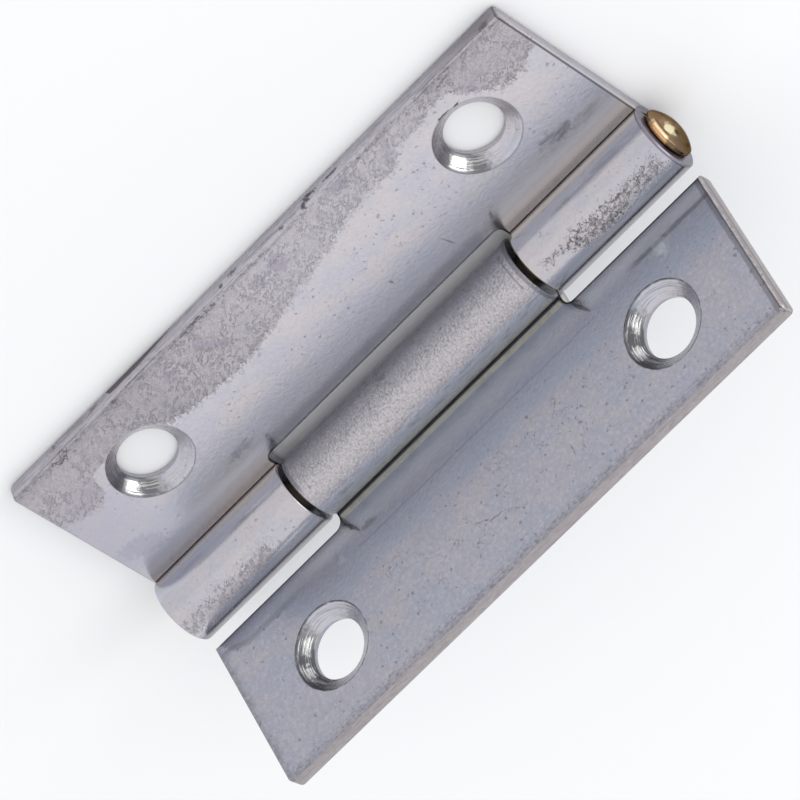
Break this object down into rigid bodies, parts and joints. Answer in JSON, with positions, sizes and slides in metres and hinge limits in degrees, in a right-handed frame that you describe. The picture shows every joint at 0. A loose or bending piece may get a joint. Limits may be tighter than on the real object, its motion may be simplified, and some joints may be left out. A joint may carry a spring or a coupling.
{
  "type": "narrow butt hinge",
  "caption": "Narrow butt hinge of two zinc-plated sheet steel leaves with rolled knuckles, countersunk screw holes and a pin with a low brass-coloured domed head.",
  "frame": {"origin": "on the flat leaf's back face, midway between its two screw holes", "axes": "+Y along the pin towards its domed head, +Z out of the flat leaf's countersunk face, +X from the flat leaf towards the pin"},
  "size_m": [0.0233, 0.0512, 0.0182],
  "materials": {
    "zinc_plated_steel": "satin zinc plate, dull and pitted in patches",
    "brass": "polished"
  },
  "bodies": {
    "fixed_leaf": {"leaf_outer_knuckles": "zinc_plated_steel", "hinge_pin": "brass"},
    "swinging_leaf": {"leaf_middle_knuckle": "zinc_plated_steel"}
  },
  "joints": [
    {"name": "leaf_swing", "type": "hinge", "parent": "fixed_leaf", "child": "swinging_leaf", "pos_m": [0.0103, 0, 0.00278], "axis": [0, 1, 0], "range_deg": [-114, 172]}
  ]
}
